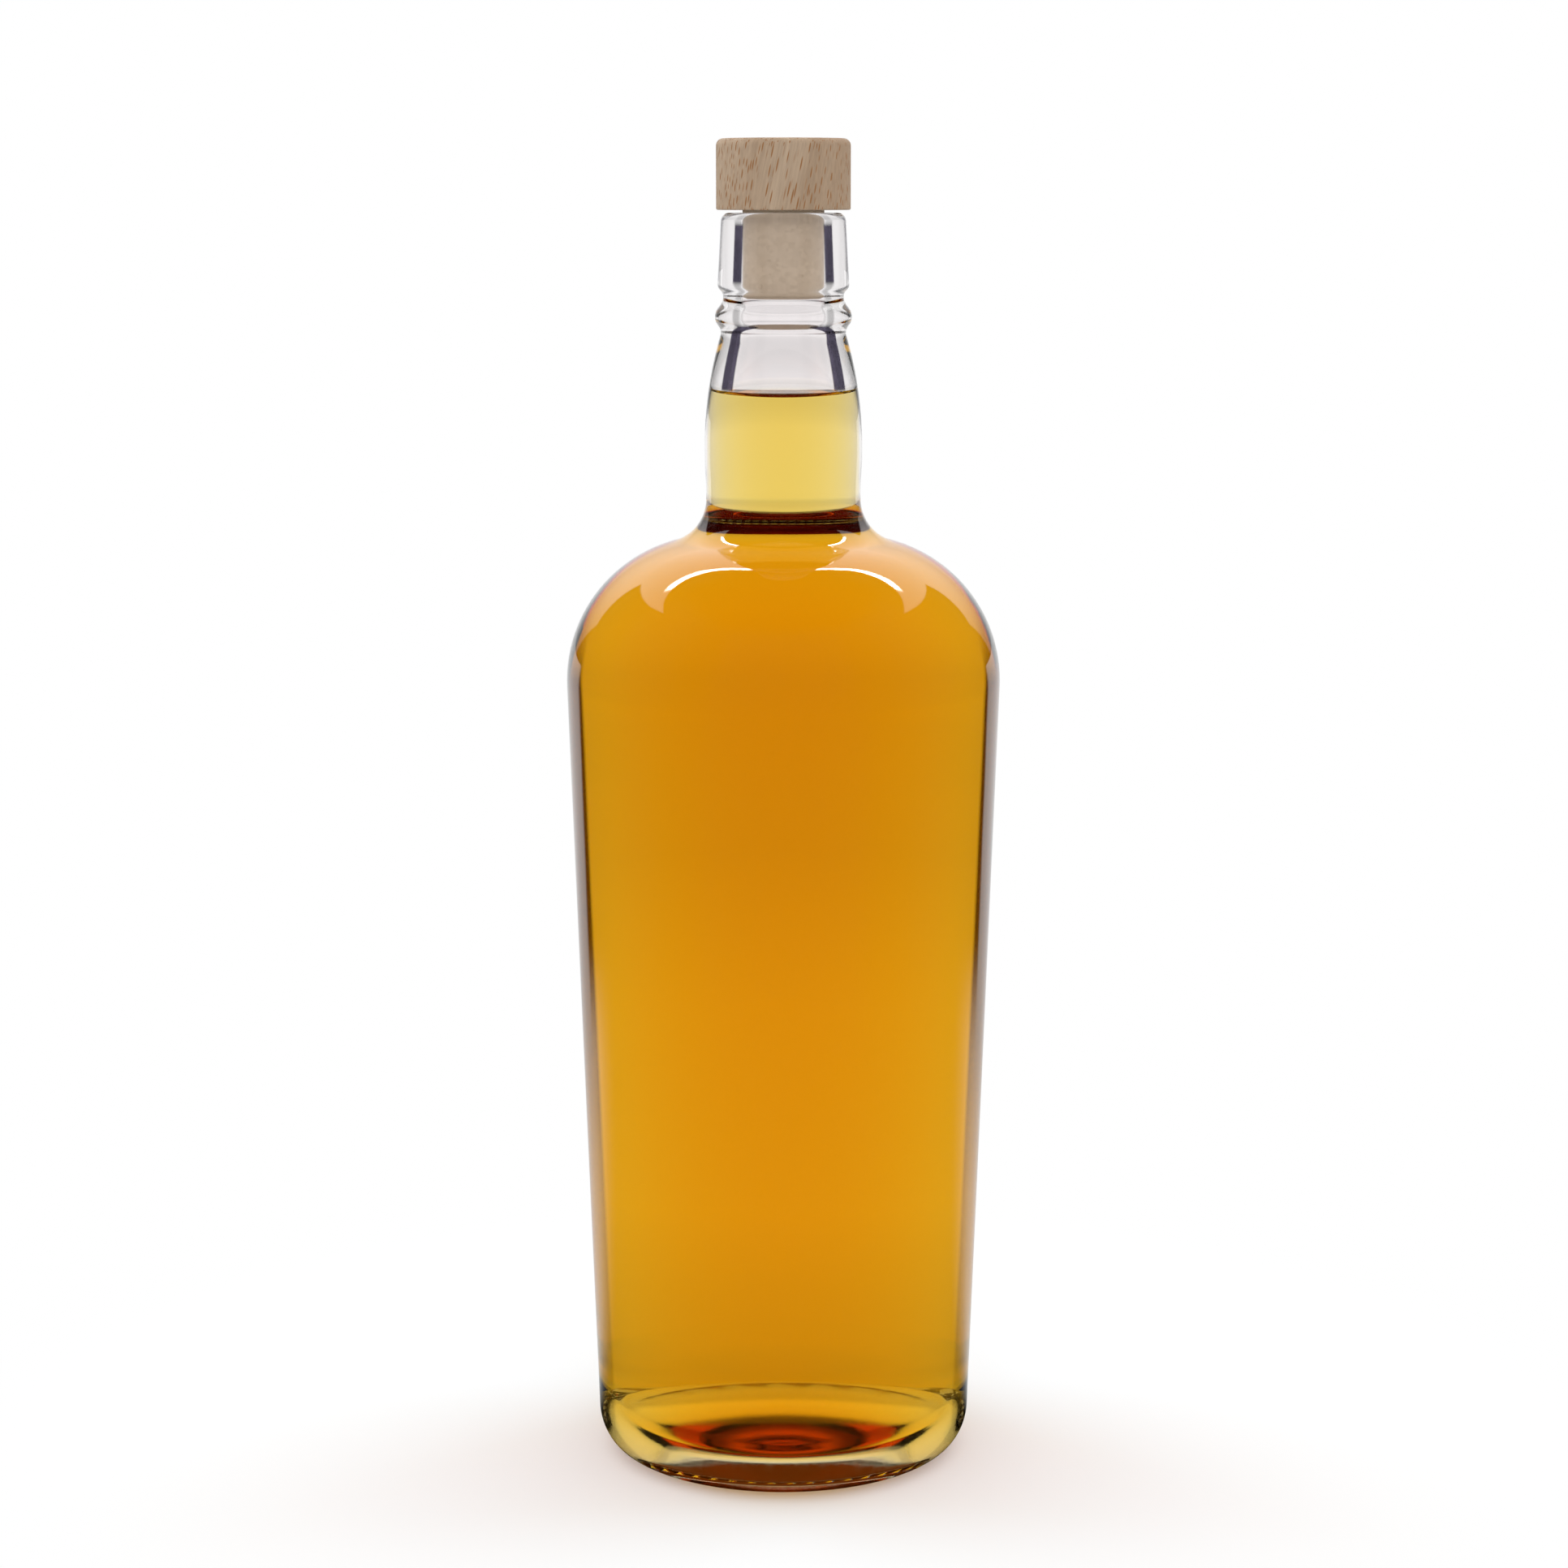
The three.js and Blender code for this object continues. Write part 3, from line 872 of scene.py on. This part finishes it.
def floor_material(colours):
    """Pale floor that keeps the bottle's shadow near it and runs out into white"""
    material, sheet = new_material("studio_floor")
    place = sheet.add("ShaderNodeTexCoord").outputs["Object"]
    axes = sheet.add("ShaderNodeSeparateXYZ", {0: place}).outputs
    away = sheet.add("ShaderNodeVectorMath", {0: place}, operation="LENGTH").outputs["Value"]
    path = sheet.add("ShaderNodeLightPath").outputs
    bearing = bearing_of(sheet, axes)
    behind = sheet.between(
        sheet.smooth_step(away, *MIRROR_REACH),
        sheet.smooth_step(bearing, *MIRROR_BEARING_NEAR, 1.0, 0.0),
        sheet.smooth_step(bearing, *MIRROR_BEARING_FAR, 1.0, 0.0),
    )
    mirrored = sheet.times(behind, sheet.smooth_step(away, *MIRROR_GAIN))
    distant = sheet.between(
        sheet.smooth_step(away, *SHADE_REACH),
        side_shade(sheet, axes, NEAR_SIDE_SHADE),
        side_shade(sheet, axes, SIDE_SHADE),
    )
    shade = sheet.times(sheet.smooth_step(away, *FAR_REACH), FLOOR_SHADE, distant)
    table = sheet.ramp(sheet.math("DIVIDE", away, TABLE_REACH), *TABLE_LIGHT)
    through = sheet.times(table, sheet.math("SUBTRACT", 1.0, shade))
    bent, level = light_by_ray(sheet, path, 1.0, mirrored, through)
    fade = sheet.times(path["Is Camera Ray"], sheet.smooth_step(away, *FADE_REACH))
    under = sheet.smooth_step(away, *GLOW_REACH)
    under = sheet.math("MAXIMUM", under, sheet.math("SUBTRACT", 1.0, path["Is Transmission Ray"]))
    glow = sheet.mix(under, rgba(colours.under_glow), WHITE)
    matt = sheet.add("ShaderNodeBsdfDiffuse", {"Color": rgba(colours.floor)}).outputs[0]
    white = sheet.add("ShaderNodeEmission", {"Color": glow, "Strength": level}).outputs[0]
    shown = sheet.math("MAXIMUM", fade, bent)
    mixed = sheet.add("ShaderNodeMixShader", {0: shown, 1: matt, 2: white})
    sheet.add("ShaderNodeOutputMaterial", {"Surface": mixed.outputs[0]})
    return material


def mirrored_light(sheet, bearing, rise):
    """What the glass mirrors: the bright wall behind, the long softbox over it and that softbox's strip"""
    span = {"Value": rise, "From Min": WALL_RISES[0], "From Max": WALL_RISES[1]}
    half_width = sheet.ramp(sheet.add("ShaderNodeMapRange", span).outputs[0], *WALL_HALF_WIDTH)
    beyond = sheet.math("SUBTRACT", bearing, sheet.times(half_width, 90.0))
    upward = sheet.smooth_step(rise, *WALL_UPWARD)
    upward = sheet.math("MAXIMUM", upward, sheet.smooth_step(bearing, *WALL_MIDDLE))
    inside = sheet.smooth_step(beyond, -1, 1, 1.0, 0.0)
    wall = sheet.times(inside, sheet.smooth_step(rise, *WALL_TOP), upward)
    top = sheet.math("SUBTRACT", BOX_TOP, sheet.times(bearing, BOX_TOP_FALL))
    top = sheet.math("SUBTRACT", top, rise)
    top = sheet.math("ADD", top, sheet.smooth_step(bearing, *BOX_LIFT))
    low = sheet.math("SUBTRACT", rise, sheet.math("ADD", BOX_LOW, sheet.times(bearing, BOX_LOW_CLIMB)))
    box = sheet.times(sheet.smooth_step(top, 0, 1), sheet.smooth_step(low, -0.5, 0.5))
    gap = sheet.smooth_step(bearing, *GAP_BEARING)
    gap = sheet.math("MAXIMUM", gap, sheet.smooth_step(rise, *GAP_RISE))
    lit = sheet.times(sheet.math("MAXIMUM", wall, box), gap, WALL_LIGHT)
    strip = sheet.times(
        sheet.smooth_step(top, *STRIP_UPPER),
        sheet.smooth_step(top, *STRIP_LOWER),
        sheet.smooth_step(bearing, *STRIP_START),
        sheet.smooth_step(bearing, *STRIP_END),
    )
    return sheet.math("ADD", lit, strip)


def studio_world(scene):
    """White surroundings; glass mirrors a bright wall behind and a long softbox, and nothing ahead"""
    world = bpy.data.worlds.new("studio")
    world.use_nodes = True
    scene.world = world
    sheet = NodeSheet(world.node_tree)
    path = sheet.add("ShaderNodeLightPath").outputs
    direction = sheet.add("ShaderNodeTexCoord").outputs["Generated"]
    axes = sheet.add("ShaderNodeSeparateXYZ", {0: direction}).outputs
    bearing = bearing_of(sheet, axes)
    rise = sheet.times(sheet.math("ARCSINE", axes[2]), DEGREES)
    shade = sheet.times(side_shade(sheet, axes, SIDE_SHADE), WALL_SHADE)
    through = sheet.math("SUBTRACT", THROUGH_LIGHT, shade)
    through = sheet.times(through, sheet.smooth_step(rise, *OVERHEAD))
    plain = sheet.between(path["Is Camera Ray"], AMBIENT_LIGHT, 1.0)
    level = light_by_ray(sheet, path, plain, mirrored_light(sheet, bearing, rise), through)[1]
    background = sheet.add("ShaderNodeBackground", {"Color": WHITE, "Strength": level})
    sheet.add("ShaderNodeOutputWorld", {"Surface": background.outputs[0]})


def add_softbox(name, place, width, height, power):
    """Area lamp turned to the bottle, which the glass neither mirrors nor shows"""
    deselect_all()
    bpy.ops.object.light_add(type="AREA", location=place)
    lamp = bpy.context.object
    lamp.name = name
    lamp.rotation_euler = (Vector(LAMP_AIM) - Vector(place)).to_track_quat("-Z", "Y").to_euler()
    lamp.data.shape = "RECTANGLE"
    lamp.data.size = width
    lamp.data.size_y = height
    lamp.data.energy = power
    lamp.visible_glossy = False
    lamp.visible_transmission = False


class BOTTLE_OT_stage(Operator):
    """Sets the pale floor, the soft lamps, the white surroundings and the camera"""

    bl_idname = "bottle.stage"
    bl_label = "Studio"

    def execute(self, context):
        scene = context.scene
        deselect_all()
        bpy.ops.mesh.primitive_plane_add(size=FLOOR_SIZE, location=(0, 0, 0))
        floor = context.object
        floor.name = "studio_floor"
        give_materials(floor, floor_material(scene.bottle_colours))
        studio_world(scene)
        for name, settings in LAMPS.items():
            add_softbox(name, *settings)
        bpy.ops.object.camera_add(
            location=(CAMERA_SIDE, -CAMERA_DISTANCE, CAMERA_HEIGHT),
            rotation=(math.pi / 2 - CAMERA_PITCH, 0, 0),
        )
        camera = context.object
        camera.name = "photo_camera"
        camera.data.lens = CAMERA_LENS
        camera.data.clip_start = CAMERA_CLIP
        scene.camera = camera
        scene.view_settings.view_transform = "Standard"
        scene.cycles.max_bounces = LIGHT_BOUNCES
        scene.cycles.glossy_bounces = GLOSSY_BOUNCES
        scene.cycles.transmission_bounces = LIGHT_BOUNCES
        return {"FINISHED"}


class BOTTLE_PT_panel(Panel):
    """Lists the sizes, the colours and the steps"""

    bl_idname = "BOTTLE_PT_panel"
    bl_label = "Spirits bottle"
    bl_space_type = "VIEW_3D"
    bl_region_type = "UI"
    bl_category = "Bottle"

    def draw(self, context):
        for step in STEPS:
            self.layout.operator(step.bl_idname)
        for name in ("bottle_glass", "bottle_pads", "bottle_spirit", "bottle_stopper", "bottle_colours"):
            group = getattr(context.scene, name)
            box = self.layout.box()
            for key in group.bl_rna.properties.keys():
                if key not in ("rna_type", "name"):
                    box.prop(group, key)


STEPS = (BOTTLE_OT_glass, BOTTLE_OT_spirit, BOTTLE_OT_shank, BOTTLE_OT_head, BOTTLE_OT_stage)
GROUPS = {
    "bottle_glass": BottleGlassSizes,
    "bottle_pads": BottlePadSizes,
    "bottle_spirit": BottleSpiritSizes,
    "bottle_stopper": BottleStopperSizes,
    "bottle_colours": BottleColours,
}


def register():
    for cls in (*GROUPS.values(), *STEPS, BOTTLE_PT_panel):
        bpy.utils.register_class(cls)
    for name, group in GROUPS.items():
        setattr(bpy.types.Scene, name, PointerProperty(type=group))


def unregister():
    for name in GROUPS:
        delattr(bpy.types.Scene, name)
    for cls in (BOTTLE_PT_panel, *reversed(STEPS), *reversed(GROUPS.values())):
        bpy.utils.unregister_class(cls)


def main():
    register()
    bpy.ops.bottle.glass()
    bpy.ops.bottle.spirit()
    bpy.ops.bottle.shank()
    bpy.ops.bottle.head()
    bpy.ops.bottle.stage()


if __name__ == "__main__":
    main()
